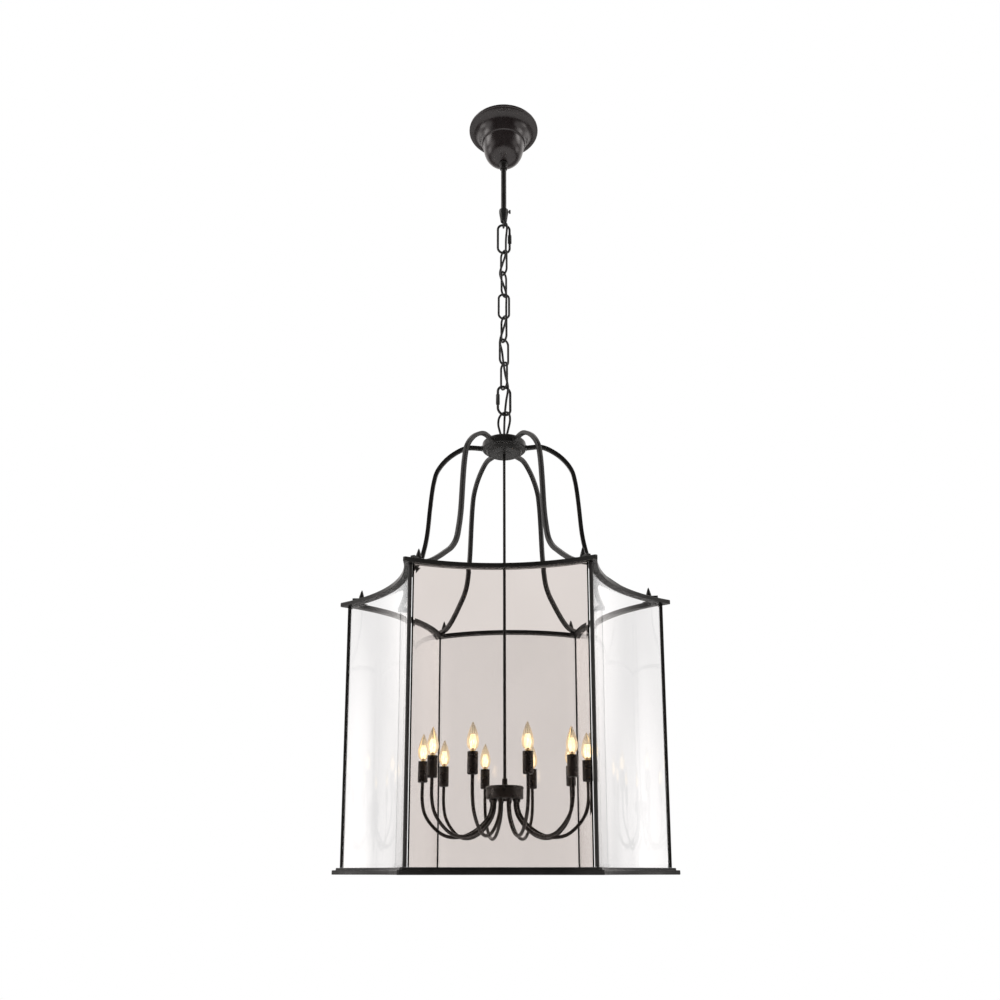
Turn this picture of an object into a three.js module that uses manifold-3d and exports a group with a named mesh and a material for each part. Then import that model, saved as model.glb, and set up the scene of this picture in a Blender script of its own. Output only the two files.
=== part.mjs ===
// Hanging lantern: a six-sided metal frame with inward-bent glass panels and ten candle lights,
// hung from a ceiling canopy on a tube and a chain.
// Millimetres, +Z up. The origin is on the ceiling plane, on the lantern's axis.

import * as THREE from 'three';
import { mergeVertices } from 'three/addons/utils/BufferGeometryUtils.js';
import Module from 'manifold-3d';

const wasm = await Module();
wasm.setup();

// ---- Driving dimensions ---------------------------------------------------------------------

const GAP = 0.3; // clearance kept between touching pieces
const OVERALL_DROP = 2770; // ceiling to the middle of the bottom ring

// Lantern body. Heights of the body are measured up from the bottom ring's middle.
const SIDES = 6;
const BOTTOM_TIP_RADIUS = 500; // truncated horn tip of the bottom ring
const TOP_TIP_RADIUS = 528; // the body widens a little towards the top
const BODY_HEIGHT = 794; // bottom ring to top ring, middle to middle
const SIDE_BEND = 0.13; // inward bend of a side, as a share of the side's length
const TIP_HALF_WIDTH = 3; // half the flat end of a horn tip
const RING_WIDTH = 28;
const RING_CORNER_WEB = 11; // half the flat across a ring's inner corner
const TOP_RING_HEIGHT = 13;
const BOTTOM_PLATE_HEIGHT = 12;
const BOTTOM_LIP_HEIGHT = 6;
const BOTTOM_LIP_INSET = 5;
const POST_SIZE = 8;
const GLASS_THICKNESS = 4;
const GLASS_INSET = 16.5; // ring's outer edge to the middle of the glass
const GLASS_SIDE_GAP = 1.5; // glass edge to post

// Crown
const HUB_RADIUS = 75;
const HUB_MIDDLE = 1346; // height at which the crown arms leave the hub
const HUB_WALL = 3;
const CROWN_BAR = 14;
const FINIAL_RADIUS = 9;
const FINIAL_AT = 462; // distance of a finial from the axis
const FINIAL_TIP = 843; // height
const ROD_RADIUS = 4.7;
const ROD_BORE = 3.2;

// Candle cluster
const CANDLES = 10;
const CANDLE_CIRCLE = 247; // axis to a candle's middle
const CANDLE_FIRST_ANGLE = -109.5; // degrees, about the lantern's axis
const CANDLE_TUBE = 10;
const CANDLE_ROOT = 39; // axis to the root of a candle arm
const CLUSTER_RADIUS = 56.5;
const CLUSTER_BOTTOM = 197;
const CLUSTER_TOP = 233.5;
const SLEEVE_RADIUS = 15;
const SLEEVE_BOTTOM = 245;
const SLEEVE_TOP = 306;
const SLEEVE_WALL = 1.6;
const BULB_RADIUS = 17.5;
const BULB_TIP = 387;

// Ceiling fitting. Depths are measured down from the ceiling.
const CANOPY_RADIUS = 138;
const CANOPY_DEPTH = 166;
const CANOPY_SHEET = 1.8;
const STEM_RADIUS = 10.5;
const STEM_BORE = 7;
const STEM_TOP = 8;
const STEM_BOTTOM = 415;
const COUPLER_TOP = 402;
const COUPLER_BOTTOM = 457;

// Chain, from the coupler's eye down to the hub's eye
const CHAIN_LINKS = 6;
const FIRST_CONTACT = 477; // depth at which the upper quick link bears on the coupler's eye
const UPPER_QUICK_PITCH = 122;
const LINK_PITCH = 98;
const LOWER_QUICK_PITCH = 103;
const LINK_WIRE = 8;
const LINK_OUTER_WIDTH = 46.4;
const QUICK_WIRE = 9;
const UPPER_QUICK_WIDTH = 54.2;
const LOWER_QUICK_WIDTH = 56.5;
const QUICK_NUT_RADIUS = 7.6;
const QUICK_NUT_LENGTH = 38;
const EYE_WIRE = 7.5;
const COUPLER_EYE_TURN = 98; // degrees each ring is turned about the vertical
const UPPER_QUICK_TURN = 8;
const LINK_TURNS = [-55, 65, 5, -60, 40, -55];
const LOWER_QUICK_TURN = 25;
const HUB_EYE_TURN = -38;
const HUB_EYE_HALF_WIDTH = 26.5;
const HUB_EYE_WIRE = 8;

// Supply cord: it winds round the chain's axis, through every link
const CORD_RADIUS = 4;
const CORD_WIND_RADIUS = 14.6; // from the axis, where it passes a contact
const CORD_LINK_RADIUS = 8.5; // from the axis, half-way along a link
const CORD_ANGLES = [-37, 66, 185, 305, 422, 530, 622, 705, 803]; // at each contact, degrees

// ---- Materials ------------------------------------------------------------------------------

function finish(color, roughness, metalness) {
  return new THREE.MeshStandardMaterial({ color, roughness, metalness });
}

const blackMetal = finish(0x1f1d1c, 0.45, 0.7);
const bronzeMetal = finish(0x3a3634, 0.35, 0.8);
const steel = finish(0x9a9a98, 0.4, 1);
const cordJacket = finish(0x141414, 0.6, 0);
const terminalPlastic = finish(0xe8e6df, 0.5, 0);
const clearGlass = new THREE.MeshStandardMaterial({
  color: 0xe6ddd6,
  roughness: 0.05,
  metalness: 0,
  transparent: true,
  opacity: 0.3,
});
const bulbGlass = new THREE.MeshStandardMaterial({
  color: 0xffe9c8,
  roughness: 0.1,
  metalness: 0,
  transparent: true,
  opacity: 0.6,
});

// ---- Geometry helpers -----------------------------------------------------------------------

const radians = THREE.MathUtils.degToRad;

// A closed geometry as a solid that can be joined or cut.
function toSolid(geometry) {
  const bare = geometry.index ? geometry.clone() : geometry;
  bare.deleteAttribute('normal');
  bare.deleteAttribute('uv');
  const welded = mergeVertices(bare, 1e-4);
  return new wasm.Manifold(new wasm.Mesh({
    numProp: 3,
    vertProperties: new Float32Array(welded.attributes.position.array),
    triVerts: new Uint32Array(welded.index.array),
  }));
}

function toGeometry(solid) {
  const mesh = solid.getMesh();
  const geometry = new THREE.BufferGeometry();
  geometry.setAttribute('position', new THREE.BufferAttribute(mesh.vertProperties, 3));
  geometry.setIndex(new THREE.BufferAttribute(mesh.triVerts, 1));
  geometry.computeVertexNormals();
  return geometry;
}

function join(...geometries) {
  return toGeometry(geometries.map(toSolid).reduce((whole, piece) => whole.add(piece)));
}

function cut(geometry, ...tools) {
  return toGeometry(tools.map(toSolid).reduce((left, tool) => left.subtract(tool), toSolid(geometry)));
}

// A body of revolution about Z. The profile holds [radius, height] pairs, anticlockwise.
function turned(profile, segments) {
  const points = profile.map(([radius, height]) => new THREE.Vector2(radius, height));
  return new THREE.LatheGeometry(points, segments).rotateX(Math.PI / 2);
}

// A turned ring or tube: the same, with the profile closed on itself.
function turnedRing(profile, segments) {
  return turned([...profile, profile[0]], segments);
}

function cylinder(radius, bottom, top, segments) {
  return turned([[0, bottom], [radius, bottom], [radius, top], [0, top]], segments);
}

function polygonSection(radius, sides) {
  const corners = Array.from({ length: sides }, (_, i) => {
    const angle = ((i + 0.5) / sides) * 2 * Math.PI;
    return new THREE.Vector2(radius * Math.cos(angle), radius * Math.sin(angle));
  });
  return new THREE.Shape(corners);
}

function squareSection(size) {
  return polygonSection(size / Math.SQRT2, 4);
}

// A bar of the given section along a smooth curve through [x, z] points in the XZ plane.
function barAlong(points, section, steps) {
  const route = points.map(([x, z]) => new THREE.Vector3(x, 0, z));
  const curve = new THREE.CatmullRomCurve3(route, false, 'centripetal');
  return new THREE.ExtrudeGeometry(section, { steps, bevelEnabled: false, extrudePath: curve });
}

function prism(shape, bottom, top) {
  const geometry = new THREE.ExtrudeGeometry(shape, { depth: top - bottom, bevelEnabled: false });
  return geometry.translate(0, 0, bottom);
}

// A round ring stretched into an oval link in the XZ plane. Width and length are between wire middles.
function ovalLink(width, length, wire) {
  const aroundWire = 6;
  const aroundLink = 14;
  const ring = new THREE.TorusGeometry(width / 2, wire / 2, aroundWire, aroundLink);
  ring.rotateZ(Math.PI / aroundLink);
  const position = ring.attributes.position;
  const stretch = (length - width) / 2;
  for (let i = 0; i < position.count; i += 1) {
    const y = position.getY(i);
    position.setY(i, y + Math.sign(y) * stretch);
  }
  return ring.rotateX(Math.PI / 2);
}

// ---- Bent hexagon outlines ------------------------------------------------------------------

// The circle that one inward-bent side follows, in that side's own frame: the side faces +X.
function sideCircle(tipRadius) {
  const sharpTip = tipRadius + TIP_HALF_WIDTH / Math.tan(cornerHalfAngle());
  const bend = SIDE_BEND * sharpTip;
  const radius = (sharpTip ** 2 / 4 + bend ** 2) / (2 * bend);
  const centre = sharpTip * Math.cos(Math.PI / SIDES) - bend + radius;
  return { centre, radius };
}

// Half the angle between two sides at a horn tip.
function cornerHalfAngle() {
  return Math.PI / 3 - 2 * Math.atan(2 * SIDE_BEND);
}

// How far round its circle a side runs before it is `margin` short of the corner's middle line.
function sideReach({ centre, radius }, margin) {
  const short = centre - 2 * margin;
  const along = (Math.sqrt(3) * short - Math.sqrt(4 * radius ** 2 - short ** 2)) / 4;
  return Math.asin(along / radius);
}

// The points of one side, inset from the outline, in the hexagon's frame.
function sidePoints(tipRadius, inset, margin, side, steps) {
  const circle = sideCircle(tipRadius);
  circle.radius += inset;
  const reach = sideReach(circle, margin);
  const facing = (side + 0.5) * ((2 * Math.PI) / SIDES);
  return Array.from({ length: steps + 1 }, (_, i) => {
    const angle = reach * ((2 * i) / steps - 1);
    const point = new THREE.Vector2(
      circle.centre - circle.radius * Math.cos(angle),
      circle.radius * Math.sin(angle),
    );
    return point.rotateAround(new THREE.Vector2(0, 0), facing);
  });
}

function bentHexagon(tipRadius, inset, margin, steps = 8) {
  const points = [];
  for (let side = 0; side < SIDES; side += 1) {
    points.push(...sidePoints(tipRadius, inset, margin, side, steps));
  }
  return points;
}

function bentRing(tipRadius, outerInset, bottom, top) {
  const shape = new THREE.Shape(bentHexagon(tipRadius, outerInset, TIP_HALF_WIDTH));
  shape.holes.push(new THREE.Path(bentHexagon(tipRadius, RING_WIDTH, RING_CORNER_WEB)));
  return prism(shape, bottom, top);
}

// Widens an upright piece, drawn at the bottom ring's size, towards the top ring.
function widenUpwards(geometry) {
  const growth = (TOP_TIP_RADIUS / BOTTOM_TIP_RADIUS - 1) / BODY_HEIGHT;
  const position = geometry.attributes.position;
  for (let i = 0; i < position.count; i += 1) {
    const scale = 1 + growth * position.getZ(i);
    position.setX(i, position.getX(i) * scale);
    position.setY(i, position.getY(i) * scale);
  }
  return geometry;
}

// ---- Scene graph helpers --------------------------------------------------------------------

const lantern = new THREE.Group();

function place(parent, name, geometry, material, { x = 0, y = 0, z = 0, turn = 0 } = {}) {
  const mesh = new THREE.Mesh(geometry, material);
  mesh.name = name;
  mesh.position.set(x, y, z);
  mesh.rotation.z = radians(turn);
  parent.add(mesh);
  return mesh;
}

// ---- Ceiling fitting ------------------------------------------------------------------------

// A strap whose feet lie on the ceiling and whose lowered middle carries the stem.
function bracketGeometry() {
  const halfLength = 78;
  const footInner = 46;
  const middleHalf = 36;
  const thickness = 3.5;
  const drop = 16.5;
  const halfWidth = 13;
  const screwHoleRadius = 2.6;
  const screwHoleAt = 68;
  const section = new THREE.Shape([
    new THREE.Vector2(-halfLength, 0),
    new THREE.Vector2(-halfLength, -thickness),
    new THREE.Vector2(-footInner - 1, -thickness),
    new THREE.Vector2(-middleHalf - 1, -drop - thickness),
    new THREE.Vector2(middleHalf + 1, -drop - thickness),
    new THREE.Vector2(footInner + 1, -thickness),
    new THREE.Vector2(halfLength, -thickness),
    new THREE.Vector2(halfLength, 0),
    new THREE.Vector2(footInner, 0),
    new THREE.Vector2(middleHalf, -drop),
    new THREE.Vector2(-middleHalf, -drop),
    new THREE.Vector2(-footInner, 0),
  ]);
  const strap = prism(section, -halfWidth, halfWidth).rotateX(Math.PI / 2);
  const screwHole = (x) => cylinder(screwHoleRadius, -thickness - 1, 1, 32).translate(x, 0, 0);
  const stemHole = cylinder(STEM_RADIUS + GAP, -drop - thickness - 1, -drop + 1, 24);
  return cut(strap, stemHole, screwHole(-screwHoleAt), screwHole(screwHoleAt));
}

function addCeilingFitting() {
  const strapTop = 16.5;
  const strapBottom = 20;
  place(lantern, 'mounting_bracket', bracketGeometry(), steel);

  const nutBottom = -strapTop + GAP;
  const nut = cut(cylinder(16, nutBottom, nutBottom + 7, 6), cylinder(STEM_RADIUS + GAP, -18, 0, 24));
  place(lantern, 'stem_locknut', nut, steel);

  const block = new THREE.BoxGeometry(20, 22, 15);
  place(lantern, 'terminal_block', block, terminalPlastic, { x: 24.5, z: -strapBottom - GAP - 7.5 });

  const stem = turnedRing([
    [STEM_BORE, -STEM_BOTTOM],
    [STEM_RADIUS, -STEM_BOTTOM],
    [STEM_RADIUS, -STEM_TOP],
    [STEM_BORE, -STEM_TOP],
  ], 20);
  place(lantern, 'stem_tube', stem, blackMetal);

  place(lantern, 'canopy', canopyGeometry(), bronzeMetal);

  const collarTop = -CANOPY_DEPTH - GAP;
  const collar = turnedRing([
    [STEM_RADIUS + GAP, collarTop - 34],
    [13.5, collarTop - 34],
    [15, collarTop - 31],
    [15, collarTop - 8],
    [17.5, collarTop - 5],
    [17.5, collarTop],
    [STEM_RADIUS + GAP, collarTop],
  ], 20);
  place(lantern, 'collar_nut', collar, blackMetal);
  place(lantern, 'loop_coupler', couplerGeometry(), blackMetal);
}

// Outside of the bell from its rim to the hole for the stem: [radius, depth].
function canopyGeometry() {
  const outside = [
    [CANOPY_RADIUS, 0.5],
    [CANOPY_RADIUS, 6],
    [CANOPY_RADIUS - 4, 9],
    [CANOPY_RADIUS - 10, 8],
    [114, 13],
    [99, 25],
    [91, 44],
    [87.5, 70],
    [81, 75],
    [79.5, 98],
    [73, 125],
    [56, 151],
    [29, 163],
    [STEM_RADIUS + GAP, CANOPY_DEPTH],
  ];
  const inside = outside.map(([radius, depth], i) => {
    const atHole = i === outside.length - 1;
    return [atHole ? radius : radius - CANOPY_SHEET, Math.max(0.5, depth - CANOPY_SHEET)];
  });
  const profile = [...outside.reverse(), ...inside].map(([radius, depth]) => [radius, -depth]);
  return turnedRing(profile, 28);
}

// The cone that grips the stem, with the eye that carries the chain and the screw that locks it.
function couplerGeometry() {
  const socketFloor = -STEM_BOTTOM - GAP;
  const cone = turned([
    [0, -COUPLER_BOTTOM],
    [12, -COUPLER_BOTTOM],
    [18, -COUPLER_TOP - 10],
    [18, -COUPLER_TOP],
    [0, -COUPLER_TOP],
  ], 16);
  const socket = cylinder(STEM_RADIUS + GAP + 0.2, socketFloor, -COUPLER_TOP + 1, 20);
  const cordWay = cylinder(CORD_RADIUS + 3, -COUPLER_BOTTOM - 6, socketFloor + 1, 12);
  const eyeRadius = 14;
  const eyeMiddle = -FIRST_CONTACT - EYE_WIRE / 2 + eyeRadius;
  const eye = new THREE.TorusGeometry(eyeRadius, EYE_WIRE / 2, 8, 16)
    .rotateX(Math.PI / 2)
    .rotateZ(radians(COUPLER_EYE_TURN))
    .translate(0, 0, eyeMiddle);
  const screwHeight = -COUPLER_TOP - 7;
  const shank = cylinder(3, 14, 20.5, 10);
  const head = cylinder(7.5, 20, 27, 12);
  const screw = join(shank, head).rotateY(Math.PI / 2).translate(0, 0, screwHeight);
  return join(cut(cone, socket, cordWay), cut(eye, cordWay), screw);
}

// ---- Chain ----------------------------------------------------------------------------------

// The contacts' depths, from the coupler's eye down to the hub's eye.
function contactDepths() {
  const depths = [FIRST_CONTACT, FIRST_CONTACT + UPPER_QUICK_PITCH];
  for (let i = 0; i < CHAIN_LINKS; i += 1) {
    depths.push(depths.at(-1) + LINK_PITCH);
  }
  depths.push(depths.at(-1) + LOWER_QUICK_PITCH);
  return depths;
}

const CONTACTS = contactDepths();

function linkBetween(upper, lower, outerWidth, wire) {
  const length = lower - upper + 2 * wire + GAP;
  const middle = -(upper + lower - GAP) / 2;
  return ovalLink(outerWidth - wire, length - wire, wire).translate(0, 0, middle);
}

// A quick link: an oval link with its threaded sleeve on one side.
function quickLink(upper, lower, outerWidth, nutSide) {
  const middle = -(upper + lower) / 2;
  const nutTop = middle + QUICK_NUT_LENGTH / 2;
  const nutOffset = (nutSide * (outerWidth - QUICK_WIRE)) / 2;
  const nut = cylinder(QUICK_NUT_RADIUS, nutTop - QUICK_NUT_LENGTH, nutTop, 6).translate(nutOffset, 0, 0);
  return join(linkBetween(upper, lower, outerWidth, QUICK_WIRE), nut);
}

function addChain() {
  const upperQuick = quickLink(CONTACTS[0], CONTACTS[1], UPPER_QUICK_WIDTH, 1);
  place(lantern, 'quick_link_upper', upperQuick, blackMetal, { turn: UPPER_QUICK_TURN });
  LINK_TURNS.forEach((turn, i) => {
    const link = linkBetween(CONTACTS[i + 1], CONTACTS[i + 2], LINK_OUTER_WIDTH, LINK_WIRE);
    place(lantern, `chain_link_${i + 1}`, link, blackMetal, { turn });
  });
  const lowerQuick = quickLink(CONTACTS[CHAIN_LINKS + 1], CONTACTS[CHAIN_LINKS + 2], LOWER_QUICK_WIDTH, -1);
  place(lantern, 'quick_link_lower', lowerQuick, blackMetal, { turn: LOWER_QUICK_TURN });
  place(lantern, 'supply_cord', cordGeometry(), cordJacket);
}

// The cord leaves the stem, winds down through the links and enters the crown hub.
function cordGeometry() {
  const points = [
    new THREE.Vector3(0, 0, -STEM_TOP - 40),
    new THREE.Vector3(0, 0, -STEM_BOTTOM + 60),
    new THREE.Vector3(0, 0, -COUPLER_TOP - 20),
    new THREE.Vector3(0, 0, -COUPLER_BOTTOM + 3),
  ];
  CONTACTS.forEach((depth, i) => {
    const angle = radians(CORD_ANGLES[i]);
    points.push(windPoint(CORD_WIND_RADIUS, angle, depth));
    if (i < CONTACTS.length - 1) {
      const between = (angle + radians(CORD_ANGLES[i + 1])) / 2;
      points.push(windPoint(CORD_LINK_RADIUS, between, (depth + CONTACTS[i + 1]) / 2));
    }
  });
  const hubTop = OVERALL_DROP - HUB_MIDDLE - 24;
  points.push(new THREE.Vector3(0, 0, -hubTop + 24));
  points.push(new THREE.Vector3(0, 0, -hubTop - 12));
  const curve = new THREE.CatmullRomCurve3(points, false, 'centripetal');
  const section = polygonSection(CORD_RADIUS, 8);
  return new THREE.ExtrudeGeometry(section, { steps: 78, bevelEnabled: false, extrudePath: curve });
}

function windPoint(radius, angle, depth) {
  return new THREE.Vector3(radius * Math.cos(angle), radius * Math.sin(angle), -depth);
}

// ---- Crown ----------------------------------------------------------------------------------

const body = new THREE.Group();
body.position.z = -OVERALL_DROP;
lantern.add(body);

const TOP_RING_BOTTOM = BODY_HEIGHT - TOP_RING_HEIGHT / 2;
const TOP_RING_TOP = BODY_HEIGHT + TOP_RING_HEIGHT / 2;
const PLATE_BOTTOM = -(BOTTOM_PLATE_HEIGHT + BOTTOM_LIP_HEIGHT) / 2;
const PLATE_TOP = PLATE_BOTTOM + BOTTOM_PLATE_HEIGHT;
const LIP_TOP = PLATE_TOP + BOTTOM_LIP_HEIGHT;
const HUB_TOP = HUB_MIDDLE + 24;
const HUB_BOTTOM = HUB_MIDDLE - 25;

// A hollow drum with a dished underside, open at its middle for the cord and the rod.
function crownHubGeometry() {
  const outside = [
    [ROD_RADIUS + GAP, HUB_BOTTOM],
    [50, HUB_BOTTOM],
    [58, HUB_BOTTOM + 4],
    [61, HUB_BOTTOM + 15],
    [72, HUB_BOTTOM + 16],
    [HUB_RADIUS, HUB_BOTTOM + 19],
    [HUB_RADIUS, HUB_TOP - 7],
    [70, HUB_TOP - 2],
    [60, HUB_TOP],
    [7, HUB_TOP],
  ];
  const inside = [
    [7, HUB_TOP - HUB_WALL],
    [59, HUB_TOP - HUB_WALL],
    [HUB_RADIUS - HUB_WALL, HUB_TOP - 9],
    [HUB_RADIUS - HUB_WALL, HUB_BOTTOM + 20],
    [58, HUB_BOTTOM + 18],
    [55, HUB_BOTTOM + 6],
    [49, HUB_BOTTOM + HUB_WALL],
    [ROD_RADIUS + GAP, HUB_BOTTOM + HUB_WALL],
  ];
  return turnedRing([...outside, ...inside], 24);
}

// A pear-shaped loop whose legs stand in a threaded base on the hub.
function hubEyeGeometry() {
  const top = OVERALL_DROP - CONTACTS.at(-1) + HUB_EYE_WIRE / 2 + GAP;
  const base = HUB_TOP + GAP;
  const half = [
    [10.5, base + 4],
    [11, base + 19],
    [18, base + 42],
    [HUB_EYE_HALF_WIDTH, base + 76],
    [23, top - 14],
    [12, top - 2.5],
  ];
  const mirrored = half.map(([x, z]) => [-x, z]).reverse();
  const loop = barAlong([...half, [0, top], ...mirrored], polygonSection(HUB_EYE_WIRE / 2, 7), 20);
  const nipple = turnedRing([
    [CORD_RADIUS + 1.3, base],
    [19, base],
    [19, base + 5],
    [16, base + 8],
    [15.5, base + 17],
    [CORD_RADIUS + 1.3, base + 17],
  ], 14);
  return join(nipple, loop);
}

// One crown arm in the XZ plane, from the hub out to a corner, with its finial and bolt.
function crownArmGeometry() {
  const seat = TOP_RING_TOP + GAP + CROWN_BAR / 2;
  const route = [
    [HUB_RADIUS + GAP, HUB_MIDDLE],
    [129, HUB_MIDDLE + 2],
    [174, HUB_MIDDLE - 21],
    [207, HUB_MIDDLE - 52],
    [230, HUB_MIDDLE - 89],
    [239, HUB_MIDDLE - 126],
    [244, HUB_MIDDLE - 163],
    [249, HUB_MIDDLE - 221],
    [256, HUB_MIDDLE - 316],
    [265, seat + 168],
    [278, seat + 121],
    [301, seat + 89],
    [335, seat + 62],
    [367, seat + 39],
    [405, seat + 16],
    [438, seat + 3],
    [460, seat],
    [490, seat],
  ];
  const bar = barAlong(route, squareSection(CROWN_BAR), 22);
  const barTop = seat + CROWN_BAR / 2;
  const finial = turned([
    [0, barTop - 4],
    [FINIAL_RADIUS, barTop - 4],
    [FINIAL_RADIUS, barTop + 2.5],
    [FINIAL_RADIUS - 1, barTop + 5],
    [FINIAL_RADIUS - 3, barTop + 14],
    [3, FINIAL_TIP - 5],
    [0, FINIAL_TIP],
  ], 8).translate(FINIAL_AT, 0, 0);
  return join(bar, finial);
}

function addCrown() {
  place(body, 'hub_eye', hubEyeGeometry(), blackMetal, { turn: HUB_EYE_TURN });
  place(body, 'crown_hub', crownHubGeometry(), blackMetal);
  const arm = crownArmGeometry();
  for (let i = 0; i < SIDES; i += 1) {
    place(body, `crown_arm_${i + 1}`, arm, blackMetal, { turn: (i * 360) / SIDES });
  }
}

// ---- Frame and glass ------------------------------------------------------------------------

function bottomRingGeometry() {
  const plate = bentRing(BOTTOM_TIP_RADIUS, 0, PLATE_BOTTOM, PLATE_TOP);
  const lip = bentRing(BOTTOM_TIP_RADIUS, BOTTOM_LIP_INSET, PLATE_TOP, LIP_TOP);
  return join(plate, lip);
}

// Where the posts stand: the glass's middle line meets the corner's middle line there.
const POST_CIRCLE = BOTTOM_TIP_RADIUS + TIP_HALF_WIDTH / Math.tan(cornerHalfAngle())
  - GLASS_INSET / Math.sin(cornerHalfAngle());

function postGeometry() {
  const bottom = LIP_TOP + GAP;
  const top = TOP_RING_BOTTOM - GAP;
  const bar = new THREE.BoxGeometry(POST_SIZE, POST_SIZE, top - bottom);
  bar.translate(POST_CIRCLE, 0, (top + bottom) / 2);
  return widenUpwards(bar);
}

function glassGeometry() {
  const steps = 8;
  const margin = POST_SIZE / 2 + GLASS_SIDE_GAP;
  const outer = sidePoints(BOTTOM_TIP_RADIUS, GLASS_INSET - GLASS_THICKNESS / 2, margin, 0, steps);
  const inner = sidePoints(BOTTOM_TIP_RADIUS, GLASS_INSET + GLASS_THICKNESS / 2, margin, 0, steps);
  const sheet = new THREE.Shape([...outer, ...inner.reverse()]);
  return widenUpwards(prism(sheet, LIP_TOP + GAP, TOP_RING_BOTTOM - GAP));
}

function addFrame() {
  const topRing = bentRing(TOP_TIP_RADIUS, 0, TOP_RING_BOTTOM, TOP_RING_TOP);
  place(body, 'top_ring', topRing, blackMetal);
  place(body, 'bottom_ring', bottomRingGeometry(), blackMetal);
  const post = postGeometry();
  const glass = glassGeometry();
  for (let i = 0; i < SIDES; i += 1) {
    const turn = (i * 360) / SIDES;
    place(body, `corner_post_${i + 1}`, post, blackMetal, { turn });
    place(body, `glass_panel_${i + 1}`, glass, clearGlass, { turn });
  }
}

// ---- Candle cluster -------------------------------------------------------------------------

function clusterHubGeometry() {
  return turnedRing([
    [ROD_BORE, CLUSTER_BOTTOM - 6],
    [9, CLUSTER_BOTTOM - 6],
    [9, CLUSTER_BOTTOM],
    [CLUSTER_RADIUS - 3, CLUSTER_BOTTOM],
    [CLUSTER_RADIUS, CLUSTER_BOTTOM + 3],
    [CLUSTER_RADIUS, CLUSTER_TOP - 8],
    [CLUSTER_RADIUS - 6, CLUSTER_TOP - 1],
    [CLUSTER_RADIUS - 12, CLUSTER_TOP],
    [14, CLUSTER_TOP],
    [10, CLUSTER_TOP + 3],
    [8, CLUSTER_TOP + 5],
    [8, CLUSTER_TOP + 22],
    [ROD_RADIUS + GAP, CLUSTER_TOP + 22],
    [ROD_RADIUS + GAP, CLUSTER_TOP - 4],
    [CLUSTER_RADIUS - 14, CLUSTER_TOP - 4],
    [CLUSTER_RADIUS - 4, CLUSTER_TOP - 11],
    [CLUSTER_RADIUS - 4, CLUSTER_BOTTOM + 4],
    [ROD_BORE, CLUSTER_BOTTOM + 4],
  ], 20);
}

// A bent tube in the XZ plane, with the sleeve that hides the lampholder on its end.
function candleArmGeometry() {
  const route = [
    [CANDLE_ROOT, CLUSTER_BOTTOM - GAP],
    [CANDLE_ROOT, 176],
    [48, 149],
    [75, 119],
    [110, 98],
    [145, 91],
    [181, 98],
    [215, 124],
    [237, 155],
    [CANDLE_CIRCLE - 1, 192],
    [CANDLE_CIRCLE, SLEEVE_BOTTOM + 3],
  ];
  const tube = barAlong(route, polygonSection(CANDLE_TUBE / 2, 7), 13);
  const pocketFloor = SLEEVE_BOTTOM + 14;
  const sleeve = turned([
    [0, SLEEVE_BOTTOM],
    [SLEEVE_RADIUS - 2, SLEEVE_BOTTOM],
    [SLEEVE_RADIUS, SLEEVE_BOTTOM + 3],
    [SLEEVE_RADIUS, SLEEVE_TOP],
    [SLEEVE_RADIUS - SLEEVE_WALL, SLEEVE_TOP],
    [SLEEVE_RADIUS - SLEEVE_WALL, pocketFloor],
    [0, pocketFloor],
  ], 10).translate(CANDLE_CIRCLE, 0, 0);
  return join(tube, sleeve);
}

// A candle bulb: its cap stands in the sleeve and its glass tapers to a tip.
function bulbGeometry() {
  return turned([
    [0, SLEEVE_BOTTOM + 14 + GAP],
    [12.6, SLEEVE_BOTTOM + 14 + GAP],
    [12.6, SLEEVE_TOP - 4],
    [10, SLEEVE_TOP + 2],
    [BULB_RADIUS - 1, SLEEVE_TOP + 14],
    [BULB_RADIUS, SLEEVE_TOP + 24],
    [BULB_RADIUS - 1, SLEEVE_TOP + 38],
    [BULB_RADIUS - 5, SLEEVE_TOP + 54],
    [7.5, BULB_TIP - 13],
    [0, BULB_TIP],
  ], 10).translate(CANDLE_CIRCLE, 0, 0);
}

function addCluster() {
  const rod = turnedRing([
    [ROD_BORE, CLUSTER_TOP - 3],
    [ROD_RADIUS, CLUSTER_TOP - 3],
    [ROD_RADIUS, HUB_BOTTOM + HUB_WALL + 8],
    [ROD_BORE, HUB_BOTTOM + HUB_WALL + 8],
  ], 12);
  place(body, 'centre_rod', rod, blackMetal);
  place(body, 'cluster_hub', clusterHubGeometry(), bronzeMetal);
  const arm = candleArmGeometry();
  const bulb = bulbGeometry();
  for (let i = 0; i < CANDLES; i += 1) {
    const turn = CANDLE_FIRST_ANGLE + (i * 360) / CANDLES;
    place(body, `candle_arm_${i + 1}`, arm, bronzeMetal, { turn });
    place(body, `bulb_${i + 1}`, bulb, bulbGlass, { turn });
  }
}

addCeilingFitting();
addChain();
addCrown();
addFrame();
addCluster();

export default lantern;
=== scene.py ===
"""Looks of the hanging lantern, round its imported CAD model. Metres, +Z up, origin on the ceiling."""

import math

import bmesh
import bpy
from mathutils import Matrix, Vector


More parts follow.
